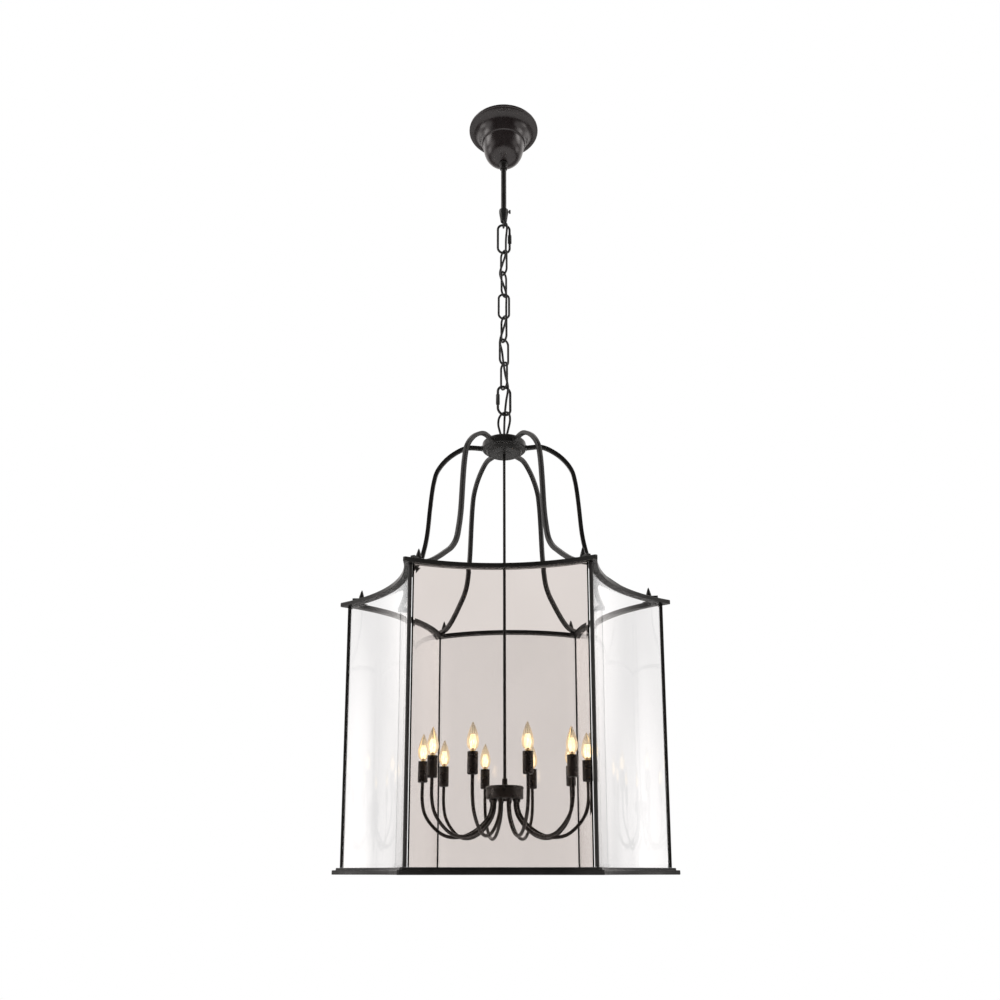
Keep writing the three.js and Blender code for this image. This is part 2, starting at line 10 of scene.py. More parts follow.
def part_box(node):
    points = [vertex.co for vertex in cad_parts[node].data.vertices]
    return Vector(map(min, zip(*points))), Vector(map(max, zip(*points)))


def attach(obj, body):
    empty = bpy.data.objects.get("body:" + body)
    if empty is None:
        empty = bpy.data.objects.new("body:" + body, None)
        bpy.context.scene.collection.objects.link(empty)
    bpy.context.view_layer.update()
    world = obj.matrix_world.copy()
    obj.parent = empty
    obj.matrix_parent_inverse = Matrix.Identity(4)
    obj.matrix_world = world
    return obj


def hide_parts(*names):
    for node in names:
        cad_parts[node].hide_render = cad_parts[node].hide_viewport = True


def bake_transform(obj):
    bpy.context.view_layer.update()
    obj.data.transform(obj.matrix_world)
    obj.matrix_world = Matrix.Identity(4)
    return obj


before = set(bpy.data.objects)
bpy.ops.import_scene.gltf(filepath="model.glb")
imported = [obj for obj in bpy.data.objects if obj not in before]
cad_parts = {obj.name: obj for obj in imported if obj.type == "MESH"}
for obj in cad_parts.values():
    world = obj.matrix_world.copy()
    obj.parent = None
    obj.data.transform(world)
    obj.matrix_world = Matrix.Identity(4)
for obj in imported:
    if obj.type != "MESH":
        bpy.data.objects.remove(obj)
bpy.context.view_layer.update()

MM = 0.001
TAU = 2 * math.pi

# ---- Dimensions shared with the CAD model, in millimetres ------------------------------------

DROP = 2770  # ceiling to the middle of the bottom ring
SIDES = 6
BOTTOM_TIP_RADIUS, TOP_TIP_RADIUS = 500, 528
BODY_HEIGHT = 794
SIDE_BEND = 0.13
TIP_HALF_WIDTH = 3
RING_WIDTH, RING_CORNER_WEB = 28, 11
TOP_RING_HEIGHT = 13
PLATE_BOTTOM, PLATE_TOP, LIP_TOP, LIP_INSET = -9, 3, 9, 5
POST_SIZE = 8
GLASS_THICKNESS, GLASS_INSET, GLASS_SIDE_GAP = 4, 16.5, 1.5
GAP = 0.3
HUB_RADIUS, HUB_MIDDLE = 75, 1346
CROWN_BAR = 14
FINIAL_AT, FINIAL_TIP = 462, 843
ROD_RADIUS, ROD_BORE = 4.7, 3.2
CANDLES, CANDLE_CIRCLE, CANDLE_FIRST_ANGLE = 10, 247, -109.5
CANDLE_TUBE, CANDLE_ROOT = 10, 39
CLUSTER_RADIUS, CLUSTER_BOTTOM, CLUSTER_TOP = 56.5, 197, 233.5
SLEEVE_RADIUS, SLEEVE_BOTTOM, SLEEVE_TOP, SLEEVE_WALL = 15, 245, 306, 1.6
BULB_RADIUS, BULB_TIP = 17.5, 387
CANOPY_RADIUS, CANOPY_DEPTH, CANOPY_SHEET = 138, 166, 1.8
CEILING_SCREW_AT = 68
STEM_RADIUS, STEM_BORE, STEM_TOP, STEM_BOTTOM = 10.5, 7, 8, 415
COUPLER_TOP, COUPLER_BOTTOM = 402, 457
EYE_RADIUS, EYE_WIRE, QUICK_WIRE, LINK_WIRE, HUB_EYE_WIRE = 14, 7.5, 9, 8, 8
QUICK_NUT_RADIUS, QUICK_NUT_LENGTH = 7.6, 38
CONTACTS = [477, 599, 697, 795, 893, 991, 1089, 1187, 1290]
COUPLER_EYE_TURN, UPPER_QUICK_TURN, LOWER_QUICK_TURN, HUB_EYE_TURN = 98, 8, 25, -38
LINK_TURNS = [-55, 65, 5, -60, 40, -55]
LINK_WIDTH, UPPER_QUICK_WIDTH, LOWER_QUICK_WIDTH = 46.4, 54.2, 56.5
CORD_RADIUS, CORD_WIND_RADIUS, CORD_LINK_RADIUS = 4, 14.6, 8.5
CORD_ANGLES = [-37, 66, 185, 305, 422, 530, 622, 705, 803]

TOP_RING_BOTTOM = BODY_HEIGHT - TOP_RING_HEIGHT / 2
TOP_RING_TOP = BODY_HEIGHT + TOP_RING_HEIGHT / 2
HUB_TOP, HUB_BOTTOM = HUB_MIDDLE + 24, HUB_MIDDLE - 25
ROOT, CANOPY_BODY, LANTERN = "ceiling_fitting", "canopy", "lantern"
SHADED_FRONT_PANE = 5  # the pane at the front, which takes darker, warmer glass than the others: painted shade
BULB_LIT_UNTIL, BULB_CLEAR_FROM = 322, 372  # heights above the bottom ring

# ---- View, in metres and degrees -----------------------------------------------------------------

CAMERA_AT = (0.0744, -2.7937, -2.7736)  # level with the bottom ring
CAMERA_TILT, CAMERA_TURN = 22.494, 1.82
SENSOR_WIDTH, FOCAL_LENGTH = 36, 32.4
FLOOR_HEIGHT, FLOOR_RADIUS = -4.9, 9

# ---- Node materials ----------------------------------------------------------------------------


class Shader:
    """A material being built: its nodes, and short calls that add and join them."""

    def __init__(self, name):
        self.material = bpy.data.materials.new(name)
        self.material.use_nodes = True
        self.tree = self.material.node_tree
        self.surface = self.tree.nodes["Principled BSDF"]
        self.output = self.tree.nodes["Material Output"]
        self.place = self.node("ShaderNodeTexCoord").outputs["Object"]

    def node(self, kind, **values):
        made = self.tree.nodes.new(kind)
        for key, value in values.items():
            setattr(made, key, value)
        return made

    def link(self, a, b):
        self.tree.links.new(a, b)

    def set(self, **values):
        for key, value in values.items():
            self.surface.inputs[key.replace("_", " ")].default_value = value

    def noise(self, scale, detail=4, stretch=(1, 1, 1)):
        mapping = self.node("ShaderNodeMapping")
        mapping.inputs["Scale"].default_value = stretch
        texture = self.node("ShaderNodeTexNoise")
        texture.inputs["Scale"].default_value = scale
        texture.inputs["Detail"].default_value = detail
        self.link(self.place, mapping.inputs["Vector"])
        self.link(mapping.outputs["Vector"], texture.inputs["Vector"])
        return texture.outputs["Fac"]

    def spread(self, value, low, high, start=0.35, end=0.65):
        ranged = self.node("ShaderNodeMapRange")
        for key, number in (("From Min", start), ("From Max", end), ("To Min", low), ("To Max", high)):
            ranged.inputs[key].default_value = number
        self.link(value, ranged.inputs["Value"])
        return ranged.outputs["Result"]

    def ramp(self, value, *stops):
        ramp = self.node("ShaderNodeValToRGB")
        elements = ramp.color_ramp.elements
        while len(elements) < len(stops):
            elements.new(0.5)
        for element, (position, colour) in zip(elements, stops):
            element.position = position
            element.color = (*colour, 1)
        self.link(value, ramp.inputs["Fac"])
        return ramp.outputs["Color"]

    def bump(self, value, distance, strength=1.0, after=None):
        bump = self.node("ShaderNodeBump")
        bump.inputs["Distance"].default_value = distance
        bump.inputs["Strength"].default_value = strength
        self.link(value, bump.inputs["Height"])
        if after is not None:
            self.link(after, bump.inputs["Normal"])
        return bump.outputs["Normal"]


def painted_metal(name, dark, light, roughness, metallic=0.0, gloss=0.5, peel=0.00004):
    """Satin paint on steel: fine orange peel, slow changes of shade and sheen."""
    s = Shader(name)
    s.link(s.ramp(s.noise(14, 6), (0.35, dark), (0.7, light)), s.surface.inputs["Base Color"])
    s.link(s.spread(s.noise(60, 5), roughness - 0.06, roughness + 0.07), s.surface.inputs["Roughness"])
    fine = s.bump(s.noise(900, 2), peel)
    s.link(s.bump(s.noise(180, 3), peel * 2, 0.6, fine), s.surface.inputs["Normal"])
    s.set(Metallic=metallic, Specular_IOR_Level=gloss)
    return s.material


def plated(name, dark, light, roughness, streak=(1, 1, 1)):
    """Bare plated metal with fine drawn marks."""
    s = Shader(name)
    s.link(s.ramp(s.noise(40, 5), (0.3, dark), (0.7, light)), s.surface.inputs["Base Color"])
    sheen = s.spread(s.noise(300, 3, streak), roughness - 0.08, roughness + 0.1)
    s.link(sheen, s.surface.inputs["Roughness"])
    s.link(s.bump(s.noise(700, 2, streak), 0.00003), s.surface.inputs["Normal"])
    s.set(Metallic=1.0)
    return s.material


def plastic(name, dark, light, roughness, grain=1200, depth=0.00003):
    """Moulded plastic or flat paint with a fine grain."""
    s = Shader(name)
    s.link(s.ramp(s.noise(30, 4), (0.3, dark), (0.7, light)), s.surface.inputs["Base Color"])
    s.link(s.spread(s.noise(90, 3), roughness - 0.05, roughness + 0.08), s.surface.inputs["Roughness"])
    s.link(s.bump(s.noise(grain, 2), depth), s.surface.inputs["Normal"])
    return s.material


def glass(name, low, high):
    """Clear glass that lets lamps through, its tint uneven and with faint smears in its polish."""
    s = Shader(name)
    s.set(Transmission_Weight=1.0, IOR=1.46)
    s.link(s.ramp(s.noise(3, 3), (0.3, low), (0.7, high)), s.surface.inputs["Base Color"])
    s.link(s.spread(s.noise(9, 5, (1, 1, 0.4)), 0.0, 0.03, 0.5, 0.8), s.surface.inputs["Roughness"])
    s.link(s.bump(s.noise(5, 1, (1, 1, 0.5)), 0.0004), s.surface.inputs["Normal"])
    clear = s.node("ShaderNodeBsdfTransparent")
    clear.inputs["Color"].default_value = (*high, 1)
    mix = s.node("ShaderNodeMixShader")
    s.link(s.node("ShaderNodeLightPath").outputs["Is Shadow Ray"], mix.inputs["Fac"])
    s.link(s.surface.outputs["BSDF"], mix.inputs[1])
    s.link(clear.outputs["BSDF"], mix.inputs[2])
    s.link(mix.outputs["Shader"], s.output.inputs["Surface"])
    return s


def lit_glass(name, low, high, glow, strength):
    """Glass that glows beside the filaments and fades to clear towards the tip."""
    s = glass(name, low, high)
    split = s.node("ShaderNodeSeparateXYZ")
    s.link(s.place, split.inputs["Vector"])
    start, end = (BULB_LIT_UNTIL - DROP) * MM, (BULB_CLEAR_FROM - DROP) * MM
    fade = s.spread(split.outputs["Z"], strength, 0.0, start, end)
    s.link(fade, s.surface.inputs["Emission Strength"])
    s.set(Emission_Color=(*glow, 1))
    return s


def glowing(name, low, high, strength):
    """The lit filaments, whiter in some places than others."""
    s = Shader(name)
    colour = s.ramp(s.noise(120, 2), (0.3, low), (0.55, high))
    s.link(colour, s.surface.inputs["Emission Color"])
    s.link(colour, s.surface.inputs["Base Color"])
    s.set(Emission_Strength=strength, Roughness=0.6)
    return s.material


BLACK = painted_metal("satin_black", (0.006, 0.0055, 0.005), (0.011, 0.010, 0.009), 0.34, gloss=0.36)
BRONZE = painted_metal("dark_bronze", (0.009, 0.006, 0.0045), (0.017, 0.012, 0.009), 0.30, 0.15)
CANOPY_PAINT = painted_metal("canopy_bronze", (0.012, 0.008, 0.008), (0.020, 0.015, 0.015), 0.27, 0.2, 0.75)
CHAIN_BLACK = painted_metal("chain_black", (0.007, 0.007, 0.007), (0.014, 0.014, 0.013), 0.40, 0.1)
ZINC = plated("zinc_plate", (0.42, 0.42, 0.40), (0.62, 0.62, 0.60), 0.38)
BRASS = plated("brass", (0.55, 0.38, 0.14), (0.74, 0.56, 0.26), 0.3, (1, 1, 6))
CORD_JACKET = plastic("cord_jacket", (0.008, 0.008, 0.008), (0.016, 0.016, 0.016), 0.5, 500, 0.00008)
TERMINAL = plastic("terminal_plastic", (0.74, 0.72, 0.66), (0.84, 0.82, 0.77), 0.45)
HOLDER = plastic("holder_plastic", (0.035, 0.030, 0.026), (0.060, 0.052, 0.045), 0.4)
PANEL_GLASS = glass("panel_glass", (0.935, 0.930, 0.930), (0.960, 0.955, 0.955)).material
# A darker, warmer copy of the panel glass, used on the front pane alone: painted shade, not a tint of the
# real glass.
FRONT_GLASS_PAINTED_SHADE = glass("front_glass_painted_shade", (0.755, 0.695, 0.662), (0.800, 0.738, 0.705)).material
BULB_GLOW = (1.0, 0.72, 0.38)
BULB_GLASS = lit_glass("bulb_glass", (0.80, 0.70, 0.50), (0.88, 0.80, 0.62), BULB_GLOW, 0.30).material
CORE_GLOW = glowing("filament_glow", (1.0, 0.78, 0.42), (1.0, 0.93, 0.76), 1.6)

# ---- Mesh helpers --------------------------------------------------------------------------------


def new_piece(name, bm, body, material, nodes=(), smooth=35, weighted=False):
    """A mesh object in metres from a bmesh in millimetres, smooth where its faces meet gently."""
    bmesh.ops.scale(bm, vec=(MM, MM, MM), verts=bm.verts)
    bmesh.ops.recalc_face_normals(bm, faces=bm.faces)
    mesh = bpy.data.meshes.new(name)
    bm.to_mesh(mesh)
    bm.free()
    for polygon in mesh.polygons:
        polygon.use_smooth = True
    mesh.set_sharp_from_angle(angle=math.radians(smooth))
    mesh.materials.append(material)
    piece = bpy.data.objects.new(name, mesh)
    bpy.context.scene.collection.objects.link(piece)
    if weighted:
        modifier = piece.modifiers.new("even_shading", "WEIGHTED_NORMAL")
        modifier.keep_sharp = True
    if body is not None:
        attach(piece, body)
    if nodes:
        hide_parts(*nodes)
    return piece


def moved(bm, x=0, y=0, z=0, turn=0):
    """Turns a bmesh about Z by degrees, then shifts it."""
    bmesh.ops.rotate(bm, cent=(0, 0, 0), matrix=Matrix.Rotation(math.radians(turn), 3, "Z"), verts=bm.verts)
    bmesh.ops.translate(bm, vec=(x, y, z), verts=bm.verts)
    return bm


def joined(*parts):
    """One bmesh from several."""
    whole = bmesh.new()
    for part in parts:
        mesh = bpy.data.meshes.new("part")
        part.to_mesh(mesh)
        part.free()
        whole.from_mesh(mesh)
        bpy.data.meshes.remove(mesh)
    return whole


def loft(rings, closed_along=False):
    """Skin over rings of points that all have the same count, capped unless it closes on itself."""
    bm = bmesh.new()
    rows = [[bm.verts.new(point) for point in ring] for ring in rings]
    count = len(rows[0])
    pairs = list(zip(rows, rows[1:] + rows[:1]) if closed_along else zip(rows, rows[1:]))
    for a, b in pairs:
        for i in range(count):
            j = (i + 1) % count
            bm.faces.new((a[i], a[j], b[j], b[i]))
    if not closed_along:
        bm.faces.new(rows[0][::-1])
        bm.faces.new(rows[-1])
    return bm


def revolve(profile, segments=64):
    """A turned piece. The profile holds (radius, height) pairs; a radius of 0 closes it on the axis."""
    bm = bmesh.new()
    rows = []
    for radius, height in profile:
        if radius == 0:
            rows.append([bm.verts.new((0, 0, height))])
        else:
            rows.append([
                bm.verts.new((radius * math.cos(a), radius * math.sin(a), height))
                for a in (TAU * i / segments for i in range(segments))
            ])
    closed = len(rows[0]) > 1 and len(rows[-1]) > 1
    for a, b in zip(rows, rows[1:] + rows[:1]) if closed else zip(rows, rows[1:]):
        for i in range(segments):
            j = (i + 1) % segments
            if len(a) == 1:
                bm.faces.new((a[0], b[j], b[i]))
            elif len(b) == 1:
                bm.faces.new((a[i], a[j], b[0]))
            else:
                bm.faces.new((a[i], a[j], b[j], b[i]))
    return bm


def rounded(points, radius, steps=3, closed=True):
    """The outline with its corners rounded. A point may be (x, y) or (x, y, its own radius)."""
    out = []
    count = len(points)
    for i, point in enumerate(points):
        here = Vector(point[:2])
        size = point[2] if len(point) > 2 else radius
        if size == 0 or (not closed and i in (0, count - 1)):
            out.append(tuple(here))
            continue
        before, after = Vector(points[i - 1][:2]), Vector(points[(i + 1) % count][:2])
        a, b = (before - here), (after - here)
        reach = min(size, a.length * 0.49, b.length * 0.49)
        start, end = here + a.normalized() * reach, here + b.normalized() * reach
        for k in range(steps + 1):
            t = k / steps
            out.append(tuple((1 - t) ** 2 * start + 2 * t * (1 - t) * here + t * t * end))
    return out


def turned(profile, radius=1.0, segments=64, steps=3):
    """A revolved profile whose corners are rounded; it starts and ends on the axis."""
    return revolve(rounded(profile, radius, steps, closed=False), segments)


def turned_ring(profile, radius=1.0, segments=64, steps=3):
    return revolve(rounded(profile, radius, steps), segments)


def catmull(points, count):
    """Points evenly spaced along a centripetal Catmull-Rom curve through the given ones."""
    nodes = [Vector(p) for p in points]
    nodes = [2 * nodes[0] - nodes[1], *nodes, 2 * nodes[-1] - nodes[-2]]
    dense = []
    for p0, p1, p2, p3 in zip(nodes, nodes[1:], nodes[2:], nodes[3:]):
        d0, d1, d2 = ((b - a).length ** 0.5 for a, b in ((p0, p1), (p1, p2), (p2, p3)))
        m1 = ((p1 - p0) / d0 - (p2 - p0) / (d0 + d1) + (p2 - p1) / d1) * d1
        m2 = ((p2 - p1) / d1 - (p3 - p1) / (d1 + d2) + (p3 - p2) / d2) * d1
        for k in range(24):
            t = k / 24
            dense.append(
                (2 * t**3 - 3 * t**2 + 1) * p1 + (t**3 - 2 * t**2 + t) * m1
                + (3 * t**2 - 2 * t**3) * p2 + (t**3 - t**2) * m2
            )
    dense.append(nodes[-2])
    return evenly(dense, count)


def evenly(points, count):
    """count + 1 points evenly spaced along a polyline."""
    lengths = [0.0]
    for a, b in zip(points, points[1:]):
        lengths.append(lengths[-1] + (b - a).length)
    out, i = [], 0
    for k in range(count + 1):
        target = lengths[-1] * k / count
        while i < len(points) - 2 and lengths[i + 1] < target:
            i += 1
        share = (target - lengths[i]) / max(lengths[i + 1] - lengths[i], 1e-9)
        out.append(points[i].lerp(points[i + 1], min(max(share, 0), 1)))
    return out


def circle(radius, sides):
    return [(radius * math.cos(TAU * i / sides), radius * math.sin(TAU * i / sides)) for i in range(sides)]


def square(size, corner, steps=3):
    half = size / 2
    return rounded([(half, half), (-half, half), (-half, -half), (half, -half)], corner, steps)


def sweep(path, section, closed=False, scale=None):
    """The section carried along the path without twist."""
    count = len(path)
    tangents = []
    for i in range(count):
        a = path[i - 1] if closed or i > 0 else path[0]
        b = path[(i + 1) % count] if closed or i < count - 1 else path[-1]
        tangents.append((b - a).normalized())
    side = Vector((0, 1, 0))
    if abs(tangents[0].dot(side)) > 0.9:
        side = Vector((1, 0, 0))
    rings = []
    for i, (point, tangent) in enumerate(zip(path, tangents)):
        side = (side - tangent * side.dot(tangent)).normalized()
        other = tangent.cross(side)
        size = scale(i / (count - 1)) if scale else 1
        rings.append([point + (side * u + other * v) * size for u, v in section])
    return loft(rings, closed_along=closed)


def in_plane(points):
    return [Vector((x, 0, z)) for x, z in points]


# ---- Bent hexagon --------------------------------------------------------------------------------


HALF_CORNER = math.pi / 3 - 2 * math.atan(2 * SIDE_BEND)
POST_CIRCLE = (
    BOTTOM_TIP_RADIUS + TIP_HALF_WIDTH / math.tan(HALF_CORNER) - GLASS_INSET / math.sin(HALF_CORNER)
)


def side_points(tip_radius, inset, margin, side, steps):
    """Points along one inward-bent side, inset from the outline, short of the corners' middle lines."""
    sharp = tip_radius + TIP_HALF_WIDTH / math.tan(HALF_CORNER)
    bend = SIDE_BEND * sharp
    radius = (sharp**2 / 4 + bend**2) / (2 * bend)
    centre = sharp * math.cos(math.pi / SIDES) - bend + radius
    radius += inset
    short = centre - 2 * margin
    along = (math.sqrt(3) * short - math.sqrt(4 * radius**2 - short**2)) / 4
    reach = math.asin(along / radius)
    facing = (side + 0.5) * TAU / SIDES
    out = []
    for i in range(steps + 1):
        angle = reach * (2 * i / steps - 1)
        x, y = centre - radius * math.cos(angle), radius * math.sin(angle)
        out.append((
            x * math.cos(facing) - y * math.sin(facing),
            x * math.sin(facing) + y * math.cos(facing),
        ))
    return out


def bent_ring(tip_radius, section, steps=28):
    """A ring whose cross-section is given as (inset from the outline, height) pairs."""
    rings = []
    for inset, height in section:
        margin = TIP_HALF_WIDTH + (RING_CORNER_WEB - TIP_HALF_WIDTH) * inset / RING_WIDTH
        ring = []
        for side in range(SIDES):
            ring += [(x, y, height) for x, y in side_points(tip_radius, inset, margin, side, steps)]
        rings.append(ring)
    return loft(rings, closed_along=True)


def widened(bm):
    """Widens an upright piece, drawn at the bottom ring's size, towards the top ring."""
    growth = (TOP_TIP_RADIUS / BOTTOM_TIP_RADIUS - 1) / BODY_HEIGHT
    for vert in bm.verts:
        size = 1 + growth * vert.co.z
        vert.co.x *= size
        vert.co.y *= size
    return bm


# ---- Ceiling fitting -----------------------------------------------------------------------------


def hex_nut(corner_radius, height, bore=0.0):
    """A hexagon nut along Z with chamfered corners, solid unless it has a bore."""
    outer = rounded(circle(corner_radius, 6), corner_radius * 0.08, 2)
    if not bore:
        return loft([
            [(x * size, y * size, z) for x, y in outer]
            for size, z in ((0.94, 0), (1, 0.7), (1, height - 0.7), (0.94, height))
        ])
    narrow = [(x * 0.95, y * 0.95) for x, y in outer]
    inner = [Vector(p).normalized() * bore for p in outer]
    layers = (
        (outer, 0.6), (narrow, 0), (inner, 0), (inner, height), (narrow, height),
        (outer, height - 0.6),
    )
    return loft([[(x, y, z) for x, y in ring] for ring, z in layers], closed_along=True)


def knurled(radius, height, teeth=28, depth=0.35):
    """A knurled cylinder along Z with chamfered ends."""
    rings = []
    for z, shrink in ((0, 0.9), (0.8, 0), (height - 0.8, 0), (height, 0.9)):
        ring = []
        for i in range(teeth * 2):
            angle = TAU * i / (teeth * 2)
            r = radius - shrink - (depth if i % 2 else 0)
            ring.append((r * math.cos(angle), r * math.sin(angle), z))
        rings.append(ring)
    return loft(rings)


def lying_along_x(bm):
    bmesh.ops.rotate(bm, cent=(0, 0, 0), matrix=Matrix.Rotation(math.pi / 2, 3, "Y"), verts=bm.verts)
    return bm


def screw(head_radius, head_height, shank_radius, length):
    """A pan-head screw with its head down and its shank upwards."""
    return turned([
        (0, 0), (head_radius * 0.55, 0), (head_radius, head_height * 0.6), (head_radius, head_height),
        (shank_radius, head_height), *thread(shank_radius, head_height, length, 1.4), (0, length),
    ], 0.25, 24, 2)


def thread(radius, start, end, pitch, depth=0.35):
    """Profile points of a row of thread crests."""
    points = []
    count = max(1, int((end - start) / pitch))
    step = (end - start) / count
    for i in range(count):
        points.append((radius - depth, start + (i + 0.1) * step))
        points.append((radius, start + (i + 0.5) * step))
    points.append((radius - depth, end))
    return points


def add_ceiling_fitting():
    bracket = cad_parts["mounting_bracket"]
    bracket.data.materials.clear()
    bracket.data.materials.append(ZINC)
    nut = moved(hex_nut(16, 7, STEM_RADIUS + GAP), z=-16.2)
    new_piece("stem_nut", nut, ROOT, ZINC, ["stem_locknut"], 25)
    for side, x in (("left", -CEILING_SCREW_AT), ("right", CEILING_SCREW_AT)):
        fixing = moved(screw(4.6, 2.6, 2.3, 5.2), x, 0, -6.4)
        new_piece(f"bracket_screw_{side}", fixing, ROOT, ZINC)
    stem = turned_ring([
        (STEM_BORE, -STEM_BOTTOM), (STEM_RADIUS, -STEM_BOTTOM), (STEM_RADIUS, -44),
        *reversed(thread(STEM_RADIUS, -43, -STEM_TOP - 1, 1.8, 0.5)),
        (STEM_RADIUS - 0.6, -STEM_TOP), (STEM_BORE, -STEM_TOP),
    ], 0.3, 64, 1)
    new_piece("stem", stem, ROOT, BLACK, ["stem_tube"], 40)
    add_terminal_block()
    add_canopy()
    add_coupler()


def add_terminal_block():
    """A ribbed block with three pairs of screws and a wire into each pair."""
    wires = ((-7.3, (0.25, 0.10, 0.03)), (0, (0.03, 0.10, 0.36)), (7.3, (0.12, 0.30, 0.05)))
    low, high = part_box("terminal_block")
    middle = (low + high) / 2 / MM
    size = (high - low) / MM
    body = bmesh.new()
    bmesh.ops.create_cube(body, size=1)
    bmesh.ops.scale(body, vec=(size.x, size.y, size.z), verts=body.verts)
    bmesh.ops.bevel(body, geom=body.edges[:], offset=1.2, segments=3, affect="EDGES")
    ribs = []
    for y in (-3.6, 3.6):
        rib = bmesh.new()
        bmesh.ops.create_cube(rib, size=1)
        bmesh.ops.scale(rib, vec=(size.x * 0.96, 0.9, size.z * 0.98), verts=rib.verts)
        ribs.append(moved(rib, 0, y, 0))
    block = moved(joined(body, *ribs), middle.x, middle.y, middle.z)
    new_piece("terminal_housing", block, ROOT, TERMINAL, ["terminal_block"], 35, True)
    heads = []
    for y, _ in wires:
        for x in (-5, 5):
            head = turned([(0, -0.6), (1.9, -0.6), (2.2, -0.1), (2.2, 0.2), (0, 0.2)], 0.2, 16, 1)
            heads.append(moved(head, middle.x + x, middle.y + y, low.z / MM - 0.05))
    new_piece("terminal_screws", joined(*heads), ROOT, BRASS)
    for i, (y, colour) in enumerate(wires):
        insulation = plastic(f"wire_{i + 1}", colour, tuple(min(1, c * 1.3) for c in colour), 0.4)
        x = middle.x - size.x / 2
        route = catmull([
            (x + 3, y, middle.z), (x - 2.6, y, middle.z - 0.6), (x - 5.2, y * 0.9, middle.z - 4),
            (x - 6.0, y * 0.8, middle.z - 12),
        ], 18)
        new_piece(f"wire_run_{i + 1}", sweep(route, circle(1.1, 10)), ROOT, insulation)


def canopy_profile():
    """Outside of the bell from its rim to the stem: (radius, depth, corner radius)."""
    r = CANOPY_RADIUS
    return [
        (r, 0.5, 0.4), (r, 6, 2.2), (r - 3.5, 9, 2.5), (r - 9, 8.2, 3), (116, 12, 6), (101.5, 24, 16),
        (92, 44, 22), (87.5, 70, 4), (81.5, 74.5, 3.5), (79.6, 98, 26), (73.5, 126, 26),
        (57, 151, 24), (29, 163, 20),
        (STEM_RADIUS + GAP, CANOPY_DEPTH, 0),
    ]


def add_canopy():
    bore = STEM_RADIUS + GAP
    outside = canopy_profile()
    inside = [
        (max(radius - CANOPY_SHEET, bore), max(0.5, depth - CANOPY_SHEET), size)
        for radius, depth, size in outside
    ]
    inside[-1] = (bore, CANOPY_DEPTH - CANOPY_SHEET, 0)
    inside[0] = (CANOPY_RADIUS - CANOPY_SHEET, 0.5, 0.2)
    loop = [(a, -b, c) for a, b, c in outside] + [(a, -b, c) for a, b, c in reversed(inside)]
    bell = turned_ring(loop, 1, 128, 7)
    new_piece("canopy_bell", bell, CANOPY_BODY, CANOPY_PAINT, ["canopy"], 50)
    top = -CANOPY_DEPTH - GAP
    collar = turned_ring([
        (bore, top - 34, 0), (13, top - 34, 1.2), (15, top - 30, 2), (15, top - 9, 1.5),
        (17.5, top - 6, 1.5), (17.5, top, 0.8), (bore, top, 0),
    ], 1, 64, 4)
    new_piece("canopy_collar", collar, CANOPY_BODY, BLACK, ["collar_nut"], 45)


def add_coupler():
    bore = CORD_RADIUS + 3
    socket = STEM_RADIUS + GAP + 0.2
    cone = turned_ring([
        (bore, -COUPLER_BOTTOM, 0.5), (12, -COUPLER_BOTTOM, 2.0), (18, -COUPLER_TOP - 11, 3),
        (18, -COUPLER_TOP, 1.2), (socket, -COUPLER_TOP, 0.4), (socket, -STEM_BOTTOM - GAP, 0.3),
        (bore, -STEM_BOTTOM - GAP, 0.3),
    ], 1, 64, 4)
    middle = -CONTACTS[0] - EYE_WIRE / 2 + EYE_RADIUS
    start = math.radians(38)
    path = [
        Vector((EYE_RADIUS * math.sin(a), 0, middle + EYE_RADIUS * math.cos(a)))
        for a in (start + (TAU - 2 * start) * i / 48 for i in range(49))
    ]
    eye = moved(sweep(path, circle(EYE_WIRE / 2, 18)), turn=COUPLER_EYE_TURN)
    new_piece("coupler_cone", joined(cone, eye), ROOT, CHAIN_BLACK, ["loop_coupler"], 45)
    shank = lying_along_x(turned([(0, 15), *thread(3, 15, 20.5, 1.1), (0, 20.5)], 0.1, 20, 1))
    head = lying_along_x(moved(knurled(7.4, 6.8), z=20.1))
    screw_piece = moved(joined(shank, head), z=-COUPLER_TOP - 7)
    new_piece("coupler_thumb_screw", screw_piece, ROOT, CHAIN_BLACK, (), 25)


# ---- Chain ---------------------------------------------------------------------------------------


def oval_path(width, length, count=64):
    """A closed oval in the XZ plane through the wire's middle, straight at its sides."""
    radius, half = width / 2, (length - width) / 2
    points = []
    for i in range(count):
        angle = TAU * i / count
        x, z = radius * math.sin(angle), radius * math.cos(angle)
        points.append(Vector((x, 0, z + (half if z > 0 else -half if z < 0 else 0))))
    dense = points + [points[0]]
    return evenly(dense, count)[:-1]


def link_mesh(upper, lower, outer_width, wire, weld_side=0):
    """An oval link. The wire swells a little at its weld, on weld_side; 0 leaves the weld out."""
    length = lower - upper + 2 * wire + GAP
    path = oval_path(outer_width - wire, length - wire)
    link = sweep(path, circle(wire / 2, 16), closed=True)
    middle = -(upper + lower - GAP) / 2
    if weld_side:
        for vert in link.verts:
            if vert.co.x * weld_side > 0:
                near = math.exp(-(vert.co.z / 2.2) ** 2)
                centre = weld_side * (outer_width - wire) / 2
                vert.co.x = centre + (vert.co.x - centre) * (1 + 0.09 * near)
                vert.co.y *= 1 + 0.09 * near
    return moved(link, z=middle)


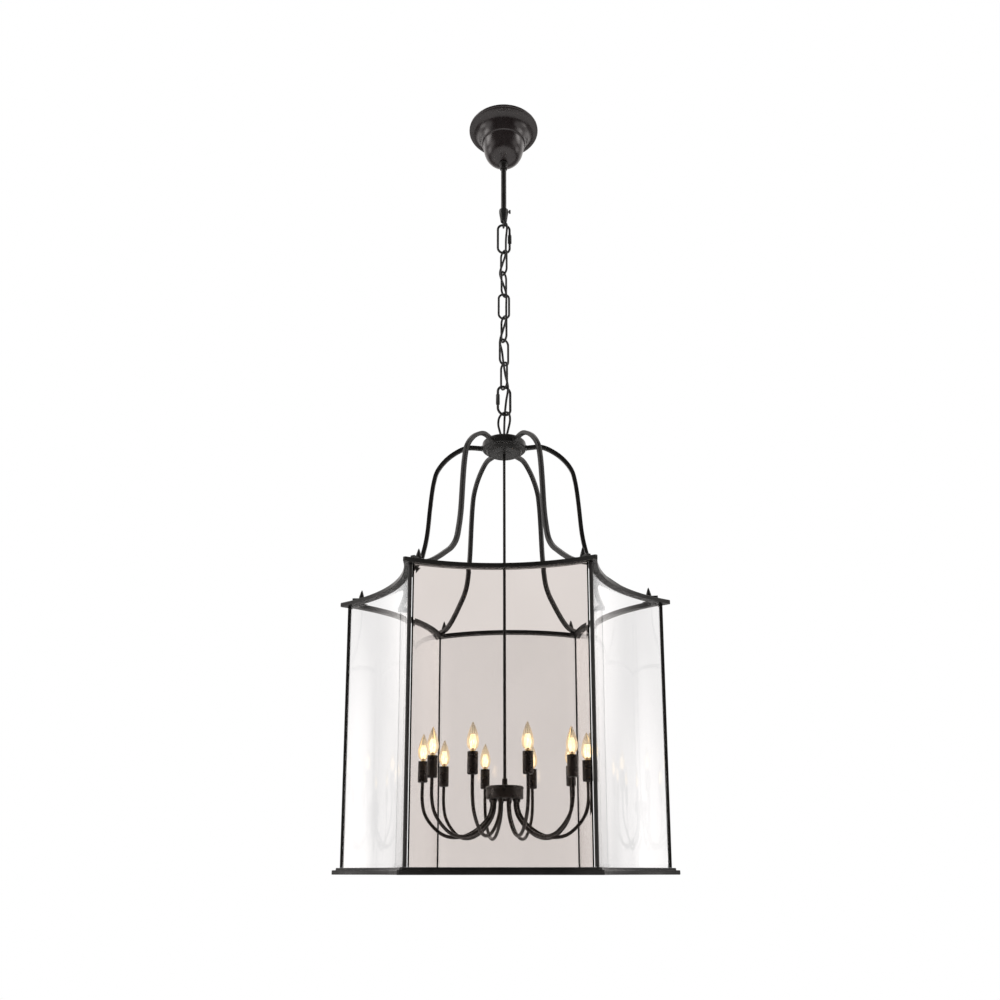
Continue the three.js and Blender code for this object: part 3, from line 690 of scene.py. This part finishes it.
def quick_link_mesh(upper, lower, outer_width, nut_side):
    """An oval link closed by a long hexagon nut that runs on a thread."""
    wire = QUICK_WIRE
    link = link_mesh(upper, lower, outer_width, wire)
    middle = -(upper + lower) / 2
    x = nut_side * (outer_width - wire) / 2
    half = QUICK_NUT_LENGTH / 2
    nut = moved(hex_nut(QUICK_NUT_RADIUS, QUICK_NUT_LENGTH), x, 0, middle - half)
    crests = thread(wire / 2 + 0.25, middle + half, middle + half + 8, 1.3, 0.3)
    collar = moved(revolve([(0, middle + half), *crests, (0, middle + half + 8)], 20), x)
    return joined(link, nut, collar)


def add_link(name, link, turn, body, smooth=30):
    new_piece(name, moved(link, turn=turn), body, CHAIN_BLACK, [body], smooth)


def add_chain():
    upper = quick_link_mesh(CONTACTS[0], CONTACTS[1], UPPER_QUICK_WIDTH, 1)
    add_link("quick_link_top", upper, UPPER_QUICK_TURN, "quick_link_upper")
    for i, turn in enumerate(LINK_TURNS):
        link = link_mesh(CONTACTS[i + 1], CONTACTS[i + 2], LINK_WIDTH, LINK_WIRE, 1 if i % 2 else -1)
        add_link(f"link_{i + 1}", link, turn, f"chain_link_{i + 1}", 60)
    lower = quick_link_mesh(CONTACTS[-2], CONTACTS[-1], LOWER_QUICK_WIDTH, -1)
    add_link("quick_link_bottom", lower, LOWER_QUICK_TURN, "quick_link_lower")


def wind_point(radius, angle, depth):
    return (radius * math.cos(angle), radius * math.sin(angle), -depth)


def cord_route():
    """Down the stem, round the axis from contact to contact, and into the hub."""
    points = [
        (0, 0, -STEM_TOP - 40), (0, 0, -STEM_BOTTOM + 60), (0, 0, -COUPLER_TOP - 20),
        (0, 0, -COUPLER_BOTTOM + 3),
    ]
    angles = [math.radians(a) for a in CORD_ANGLES]
    for i, depth in enumerate(CONTACTS):
        points.append(wind_point(CORD_WIND_RADIUS, angles[i], depth))
        if i < len(CONTACTS) - 1:
            between = (angles[i] + angles[i + 1]) / 2
            points.append(wind_point(CORD_LINK_RADIUS, between, (depth + CONTACTS[i + 1]) / 2))
    hub_top = DROP - HUB_TOP
    points += [(0, 0, -hub_top + 24), (0, 0, -hub_top - 12)]
    return catmull(points, 900)


def add_cord():
    """One stretch of cord for each contact of the chain. Each bends there, and they meet mid-link."""
    route = cord_route()
    links = [f"chain_link_{i + 1}" for i in range(len(LINK_TURNS))]
    bodies = [ROOT, "quick_link_upper", *links, "quick_link_lower", LANTERN]
    breaks = [-(a + b) / 2 for a, b in zip(CONTACTS, CONTACTS[1:])]
    edges = [1, *breaks, -DROP]
    names = ["upper_end", *[f"stretch_{i}" for i in range(1, len(breaks))], "lower_end"]
    for i, (a, b) in enumerate(zip(bodies, bodies[1:])):
        top, bottom = edges[i], edges[i + 1]
        inside = [k for k, p in enumerate(route) if bottom <= p.z <= top]
        first, last = max(inside[0] - 1, 0), min(inside[-1] + 1, len(route) - 1)
        tube = sweep(evenly(route[first:last + 1], 60), circle(CORD_RADIUS, 14))
        piece = new_piece(f"cord_{names[i]}", tube, None, CORD_JACKET, ["supply_cord"], 60)
        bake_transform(piece)


# ---- Crown ---------------------------------------------------------------------------------------


def on_body(bm, turn=0, x=0, y=0, z=0):
    """Places a mesh drawn with heights above the bottom ring's middle."""
    return moved(moved(bm, x, y, z), z=-DROP, turn=turn)


def add_black(name, bm, nodes=(), smooth=35, turn=0, x=0):
    """A black metal piece of the lantern's body."""
    new_piece(name, on_body(bm, turn, x), LANTERN, BLACK, nodes, smooth)


def on_candle(name, bm, turn, material, nodes=(), smooth=40):
    """A piece on the upright axis of the candle at the given turn."""
    new_piece(name, on_body(bm, turn, CANDLE_CIRCLE), LANTERN, material, nodes, smooth)


def hub_eye_mesh():
    top = DROP - CONTACTS[-1] + HUB_EYE_WIRE / 2 + GAP
    base = HUB_TOP + GAP
    half = [
        (10.5, base + 4), (11, base + 19), (18, base + 42), (26.5, base + 76), (23, top - 14),
        (12, top - 2.5),
    ]
    path = catmull(in_plane([*half, (0, top), *[(-x, z) for x, z in reversed(half)]]), 72)
    return sweep(path, circle(HUB_EYE_WIRE / 2, 16)), base


def add_hub():
    loop, base = hub_eye_mesh()
    new_piece("crown_eye", on_body(loop, HUB_EYE_TURN), LANTERN, CHAIN_BLACK, ["hub_eye"], 60)
    bore = CORD_RADIUS + 1.3
    nipple = turned_ring([
        (bore, base, 0.2), (19, base, 0.8), (19, base + 5, 1.2), (16, base + 8, 1.0), (15.5, base + 17, 1.4),
        (bore, base + 17, 0.4),
    ], 1, 48, 3)
    add_black("crown_eye_base", nipple, smooth=45)
    wall = 3
    rod_bore = ROD_RADIUS + GAP
    low, high = HUB_BOTTOM, HUB_TOP
    hub = turned_ring([
        (rod_bore, low, 0), (24, low, 0.5), (26, low + 1.6, 0.6), (44, low + 1.8, 8),
        (57, low + 4, 5), (61.5, low + 14.5, 1), (64, low + 16, 1), (72.5, low + 16, 1.8),
        (HUB_RADIUS, low + 19, 1.5), (HUB_RADIUS, high - 8, 3), (70, high - 2, 3), (60, high, 3),
        (7, high, 0.3), (7, high - wall, 0.3), (59, high - wall, 2), (72, high - 9, 2),
        (72, low + 20, 1), (58, low + 18, 1), (55, low + 6, 2), (49, low + wall + 1, 1),
        (rod_bore, low + wall + 1, 0),
    ], 1, 96, 3)
    add_black("crown_drum", hub, ["crown_hub"], 40)


def crown_arm_route():
    """The height of the arms' seats on the top ring, and an arm's route as (radius, height) pairs."""
    seat = TOP_RING_TOP + GAP + CROWN_BAR / 2
    m = HUB_MIDDLE
    return seat, [
        (HUB_RADIUS + GAP, m), (129, m + 2), (174, m - 21), (207, m - 52), (230, m - 89),
        (239, m - 126), (244, m - 163), (249, m - 221), (256, m - 316), (265, seat + 168),
        (278, seat + 121), (301, seat + 89), (335, seat + 62), (367, seat + 39), (405, seat + 16),
        (438, seat + 3), (460, seat), (490, seat),
    ]


def finial_mesh(bar_top):
    """A turned finial on its washer."""
    tip = FINIAL_TIP
    under, over = bar_top - 0.2, bar_top + 1.6
    washer = turned([(0, under), (9, under), (9, over), (0, over)], 0.5, 32, 2)
    cone = turned([
        (0, bar_top + 1.4), (7.6, bar_top + 1.4), (8.4, bar_top + 4, 1.5), (5.8, bar_top + 13.5, 6),
        (2.8, tip - 5, 3), (0.8, tip - 0.8), (0, tip),
    ], 0.8, 32, 4)
    return joined(washer, cone)


def add_crown():
    add_hub()
    seat, route = crown_arm_route()
    bar_top = seat + CROWN_BAR / 2
    path = catmull(in_plane(route), 150)
    weld_path = [Vector((HUB_RADIUS + x, 0, HUB_MIDDLE)) for x in (0.2, 1.0, 3.2)]
    for i in range(SIDES):
        turn = i * 360 / SIDES
        bar = sweep(path, square(CROWN_BAR, 2.2))
        add_black(f"crown_bar_{i + 1}", bar, [f"crown_arm_{i + 1}"], 50, turn)
        weld = sweep(weld_path, square(CROWN_BAR + 3.4, 2.5), scale=lambda t: 1.0 if t < 0.6 else 0.86)
        add_black(f"crown_weld_{i + 1}", weld, (), 50, turn)
        add_black(f"finial_{i + 1}", finial_mesh(bar_top), (), 40, turn, FINIAL_AT)


# ---- Frame and glass -----------------------------------------------------------------------------


def add_frame():
    top = rounded([
        (0, TOP_RING_TOP), (0, TOP_RING_BOTTOM), (RING_WIDTH, TOP_RING_BOTTOM), (RING_WIDTH, TOP_RING_TOP),
    ], 1.4, 3)
    add_black("top_frame", bent_ring(TOP_TIP_RADIUS, top), ["top_ring"], 40)
    bottom = rounded([
        (0, PLATE_TOP, 1.6), (0, PLATE_BOTTOM, 1.6), (RING_WIDTH, PLATE_BOTTOM, 1.6),
        (RING_WIDTH, LIP_TOP, 1.2), (LIP_INSET, LIP_TOP, 1.2), (LIP_INSET, PLATE_TOP, 0.8),
    ], 1.4, 3)
    add_black("bottom_frame", bent_ring(BOTTOM_TIP_RADIUS, bottom), ["bottom_ring"], 40)
    low, high = LIP_TOP + GAP, TOP_RING_BOTTOM - GAP
    for i in range(SIDES):
        turn = i * 360 / SIDES
        section = square(POST_SIZE, 1.2)
        bar = loft([[(POST_CIRCLE + u, v, z) for u, v in section] for z in (low, high)])
        add_black(f"post_{i + 1}", widened(bar), [f"corner_post_{i + 1}"], 40, turn)
        pane = on_body(pane_mesh(low, high), turn)
        # The front pane gets the darker glass as painted shade; the others get the plain panel glass.
        glazing = FRONT_GLASS_PAINTED_SHADE if i + 1 == SHADED_FRONT_PANE else PANEL_GLASS
        new_piece(f"pane_{i + 1}", pane, LANTERN, glazing, [f"glass_panel_{i + 1}"], 1.9)


def pane_mesh(low, high, steps=40, bevel=9, cut=0.5):
    """A bent pane whose outer face is ground back along all four edges."""
    margin = POST_SIZE / 2 + GLASS_SIDE_GAP
    half = GLASS_THICKNESS / 2
    inner = side_points(BOTTOM_TIP_RADIUS, GLASS_INSET + half, margin, 0, steps)
    outer = side_points(BOTTOM_TIP_RADIUS, GLASS_INSET - half, margin, 0, steps)
    length = sum((Vector(b) - Vector(a)).length for a, b in zip(outer, outer[1:]))
    share = bevel / length
    fractions = [0, share, *[k / steps for k in range(2, steps - 1)], 1 - share, 1]

    def at(points, fraction):
        place = fraction * steps
        i = min(int(place), steps - 1)
        return Vector(points[i]).lerp(Vector(points[i + 1]), place - i)

    def rim(rows):
        return rows[0] + [r[-1] for r in rows[1:-1]] + rows[-1][::-1] + [r[0] for r in rows[-2:0:-1]]

    heights = [low, low + bevel, *[low + (high - low) * k / 8 for k in range(1, 8)], high - bevel, high]
    bm = bmesh.new()
    fronts, backs = [], []
    for j, height in enumerate(heights):
        front_row, back_row = [], []
        for i, fraction in enumerate(fractions):
            a, b = at(outer, fraction), at(inner, fraction)
            edge = i in (0, len(fractions) - 1) or j in (0, len(heights) - 1)
            face = a.lerp(b, cut / GLASS_THICKNESS) if edge else a
            front_row.append(bm.verts.new((*face, height)))
            back_row.append(bm.verts.new((*b, height)))
        fronts.append(front_row)
        backs.append(back_row)
    for rows in (fronts, backs):
        for a, b in zip(rows, rows[1:]):
            for i in range(len(a) - 1):
                bm.faces.new((a[i], a[i + 1], b[i + 1], b[i]))
    rim_front, rim_back = rim(fronts), rim(backs)
    count = len(rim_front)
    for i in range(count):
        j = (i + 1) % count
        bm.faces.new((rim_front[i], rim_front[j], rim_back[j], rim_back[i]))
    return widened(bm)


# ---- Candle cluster ------------------------------------------------------------------------------


def add_cluster():
    rod = turned_ring([
        (ROD_BORE, CLUSTER_TOP - 3, 0.2), (ROD_RADIUS, CLUSTER_TOP - 3, 0.3),
        (ROD_RADIUS, HUB_BOTTOM + 11, 0.3), (ROD_BORE, HUB_BOTTOM + 11, 0.2),
    ], 0.3, 32, 2)
    add_black("rod", rod, ["centre_rod"], 45)
    r, low, high = CLUSTER_RADIUS, CLUSTER_BOTTOM, CLUSTER_TOP
    rod_fit = ROD_RADIUS + GAP
    drum = turned_ring([
        (ROD_BORE, low - 6, 0.2), (8, low - 6, 1.2), (9, low - 4, 0.8), (9, low, 0.4),
        (r - 3, low, 1.6), (r - 1.2, low + 3, 1.2), (r - 1.2, high - 9, 0.8), (r, high - 8, 0.6),
        (r, high - 2.2, 1.2), (r - 3, high, 1.2), (16, high, 1.5), (11, high + 3, 1),
        (8, high + 5, 1), (8, high + 22, 1.2), (rod_fit, high + 22, 0.2), (rod_fit, high - 4, 0.2),
        (r - 4, high - 4, 1), (r - 4, low + 4, 1), (ROD_BORE, low + 4, 0.2),
    ], 1, 96, 3)
    new_piece("cluster_drum", on_body(drum), LANTERN, BRONZE, ["cluster_hub"], 40)
    for i in range(CANDLES):
        add_candle(i + 1, CANDLE_FIRST_ANGLE + i * 360 / CANDLES)


def add_candle(number, turn):
    """One arm from the drum to its candle, with the ferrule, sleeve and bulb."""
    low = CLUSTER_BOTTOM
    route = [
        (CANDLE_ROOT, low - GAP), (CANDLE_ROOT, 176), (48, 149), (75, 119), (110, 98), (145, 91),
        (181, 98), (215, 124), (237, 155), (CANDLE_CIRCLE - 1, 192), (CANDLE_CIRCLE, SLEEVE_BOTTOM + 3),
    ]
    tube = sweep(catmull(in_plane(route), 90), circle(CANDLE_TUBE / 2, 18))
    ferrule = turned([
        (0, low - 9), (6.4, low - 9), (7.2, low - 6.5), (7.2, low - GAP), (0, low - GAP),
    ], 0.8, 28, 2)
    arm = on_body(joined(tube, moved(ferrule, CANDLE_ROOT)), turn)
    arm_nodes = [f"candle_arm_{number}"]
    new_piece(f"candle_tube_{number}", arm, LANTERN, BRONZE, arm_nodes, 50)
    floor = SLEEVE_BOTTOM + 14
    wall = SLEEVE_RADIUS - SLEEVE_WALL
    sleeve = turned([
        (0, SLEEVE_BOTTOM, 0), (SLEEVE_RADIUS - 2, SLEEVE_BOTTOM, 1.5),
        (SLEEVE_RADIUS, SLEEVE_BOTTOM + 2.6, 1.2), (SLEEVE_RADIUS, SLEEVE_TOP, 0.5),
        (wall, SLEEVE_TOP, 0.5), (wall, floor, 0.5), (0, floor, 0),
    ], 1, 48, 3)
    on_candle(f"candle_sleeve_{number}", sleeve, turn, BRONZE)
    add_bulb(number, turn, floor + GAP)


def add_bulb(number, turn, floor):
    """The lampholder in its sleeve, and the bulb's cap, glass, stem and filaments."""
    top = SLEEVE_TOP
    holder = turned([
        (0, floor, 0), (12.6, floor, 0.6), (12.6, top - 5, 1.0), (9.6, top - 3.6, 0.8),
        (8.2, top - 3.6, 0.4), (8.2, top - 9, 0.3), (0, top - 9, 0),
    ], 0.6, 32, 2)
    on_candle(f"lampholder_{number}", holder, turn, HOLDER)
    cap = turned([
        (0, top - 8.7), *thread(7.0, top - 8.5, top - 1, 1.9, 0.5), (6.6, top + 1.5), (5.2, top + 3),
        (0, top + 3),
    ], 0.3, 28, 1)
    on_candle(f"bulb_cap_{number}", cap, turn, BRASS)
    envelope = turned([
        (0, top + 3.3), (7.4, top + 1.8), (9.0, top + 6, 4), (14.6, top + 12, 5),
        (BULB_RADIUS, top + 24, 10), (16.2, top + 39, 12), (11.4, top + 56, 12),
        (5.0, BULB_TIP - 9, 6), (1.2, BULB_TIP - 0.8, 1), (0, BULB_TIP),
    ], 3, 48, 5)
    on_candle(f"bulb_glass_{number}", envelope, turn, BULB_GLASS, [f"bulb_{number}"], 60)
    stem = turned([
        (0, top + 4), (3.4, top + 4), (2.6, top + 9), (1.2, top + 13), (0.8, top + 16), (0, top + 16),
    ], 0.4, 16, 2)
    on_candle(f"filament_stem_{number}", stem, turn, HOLDER, (), 60)
    rods = []
    for k in range(6):
        angle = TAU * k / 6
        points = [
            Vector((radius * math.cos(angle + twist), radius * math.sin(angle + twist), top + height))
            for radius, twist, height in ((2.4, 0, 11), (5.0, 0.3, 26), (2.2, 0.6, 45))
        ]
        rods.append(sweep(catmull(points, 14), circle(2.2, 10)))
    on_candle(f"filament_{number}", joined(*rods), turn, CORE_GLOW, (), 60)


# ---- Stage, lights and camera --------------------------------------------------------------------


def add_camera():
    """The viewpoint: level with the bottom ring, looking up at the body."""
    camera = bpy.data.objects.new("camera", bpy.data.cameras.new("camera"))
    bpy.context.scene.collection.objects.link(camera)
    camera.data.sensor_width = SENSOR_WIDTH
    camera.data.lens = FOCAL_LENGTH
    camera.location = CAMERA_AT
    camera.rotation_euler = (math.radians(90 + CAMERA_TILT), 0, math.radians(CAMERA_TURN))
    camera.data.clip_end = 100
    bpy.context.scene.camera = camera


def add_floor():
    bm = bmesh.new()
    bmesh.ops.create_circle(bm, cap_ends=True, radius=FLOOR_RADIUS, segments=96)
    mesh = bpy.data.meshes.new("floor")
    bm.to_mesh(mesh)
    bm.free()
    floor = bpy.data.objects.new("floor", mesh)
    floor.location.z = FLOOR_HEIGHT
    bpy.context.scene.collection.objects.link(floor)
    paint = plastic("floor_paint", (0.78, 0.77, 0.76), (0.82, 0.81, 0.80), 0.6, 20, 0.001)
    floor.data.materials.append(paint)


def area_light(name, place, target, size, energy, height=None):
    """A soft light that is never seen itself, in reflections or through glass."""
    data = bpy.data.lights.new(name, "AREA")
    data.shape = "RECTANGLE"
    data.size = size
    data.size_y = height or size
    data.energy = energy
    light = bpy.data.objects.new(name, data)
    light.location = place
    light.rotation_euler = (Vector(target) - Vector(place)).to_track_quat("-Z", "Y").to_euler()
    light.visible_camera = False
    light.visible_transmission = False
    light.visible_glossy = False
    bpy.context.scene.collection.objects.link(light)


# Soft light panels of the studio: their direction, the cosine at their edge, and their strength.
STUDIO_PANELS = [
    ((-0.9, -0.35, 0.12), 0.90, 1.1),
    ((0.9, -0.4, 0.15), 0.92, 0.9),
    ((-0.80, -0.05, 0.60), 0.95, 3.4),
    ((0.80, -0.05, 0.60), 0.955, 3.1),
    ((-0.86, 0.02, -0.06), 0.95, 2.4),
    ((0.86, 0.02, -0.06), 0.955, 2.2),
]


def add_world():
    """White for what is seen directly or through glass, and a soft warm studio for reflections."""
    world = bpy.data.worlds.new("studio")
    bpy.context.scene.world = world
    world.use_nodes = True
    tree = world.node_tree
    tree.nodes.clear()

    def node(kind):
        return tree.nodes.new(kind)

    def link(a, b):
        tree.links.new(a, b)

    def ranged(value, start, end, low, high):
        made = node("ShaderNodeMapRange")
        made.interpolation_type = "SMOOTHSTEP"
        for key, number in (("From Min", start), ("From Max", end), ("To Min", low), ("To Max", high)):
            made.inputs[key].default_value = number
        link(value, made.inputs["Value"])
        return made.outputs["Result"]

    def maths(operation, a, b):
        made = node("ShaderNodeMath")
        made.operation = operation
        link(a, made.inputs[0])
        link(b, made.inputs[1])
        return made.outputs["Value"]

    def panel(direction, start, strength):
        """A soft light panel: 0 outside its edge, its strength at its middle."""
        dot = node("ShaderNodeVectorMath")
        dot.operation = "DOT_PRODUCT"
        dot.inputs[1].default_value = Vector(direction).normalized()
        link(place, dot.inputs[0])
        return ranged(dot.outputs["Value"], start, 1.0, 0.0, strength)

    place = node("ShaderNodeTexCoord").outputs["Generated"]
    split = node("ShaderNodeSeparateXYZ")
    link(place, split.inputs["Vector"])
    behind = ranged(split.outputs["Y"], -0.1, 0.7, 0.05, 1.25)
    above = ranged(split.outputs["Z"], -0.25, 0.25, 0.12, 1.0)
    light = maths("MULTIPLY", behind, above)
    for direction, start, strength in STUDIO_PANELS:
        light = maths("ADD", light, panel(direction, start, strength))
    studio, white = node("ShaderNodeBackground"), node("ShaderNodeBackground")
    studio.inputs["Color"].default_value = (1.0, 0.965, 0.945, 1)
    link(light, studio.inputs["Strength"])
    white.inputs["Color"].default_value = (1, 1, 1, 1)
    path = node("ShaderNodeLightPath")
    unreflected = ranged(path.outputs["Glossy Depth"], 0.0, 1.0, 1.0, 0.0)
    through = maths("MULTIPLY", path.outputs["Is Transmission Ray"], unreflected)
    seen = maths("MAXIMUM", path.outputs["Is Camera Ray"], through)
    seen = maths("MAXIMUM", seen, path.outputs["Is Diffuse Ray"])
    mix, output = node("ShaderNodeMixShader"), node("ShaderNodeOutputWorld")
    link(seen, mix.inputs["Fac"])
    link(studio.outputs["Background"], mix.inputs[1])
    link(white.outputs["Background"], mix.inputs[2])
    link(mix.outputs["Shader"], output.inputs["Surface"])


def add_studio():
    add_floor()
    add_world()
    middle = (0, 0, -2.2)
    area_light("left_softbox", (-3.2, -1.2, -1.6), middle, 1.2, 30, height=2.6)
    area_light("right_softbox", (3.2, -1.6, -1.4), middle, 1.2, 24, height=2.6)
    area_light("front_fill", (0.4, -4.4, -3.0), middle, 2.4, 10)
    bpy.context.scene.view_settings.view_transform = "Standard"


add_camera()
add_ceiling_fitting()
add_chain()
add_cord()
add_crown()
add_frame()
add_cluster()
add_studio()

bpy.context.view_layer.update()
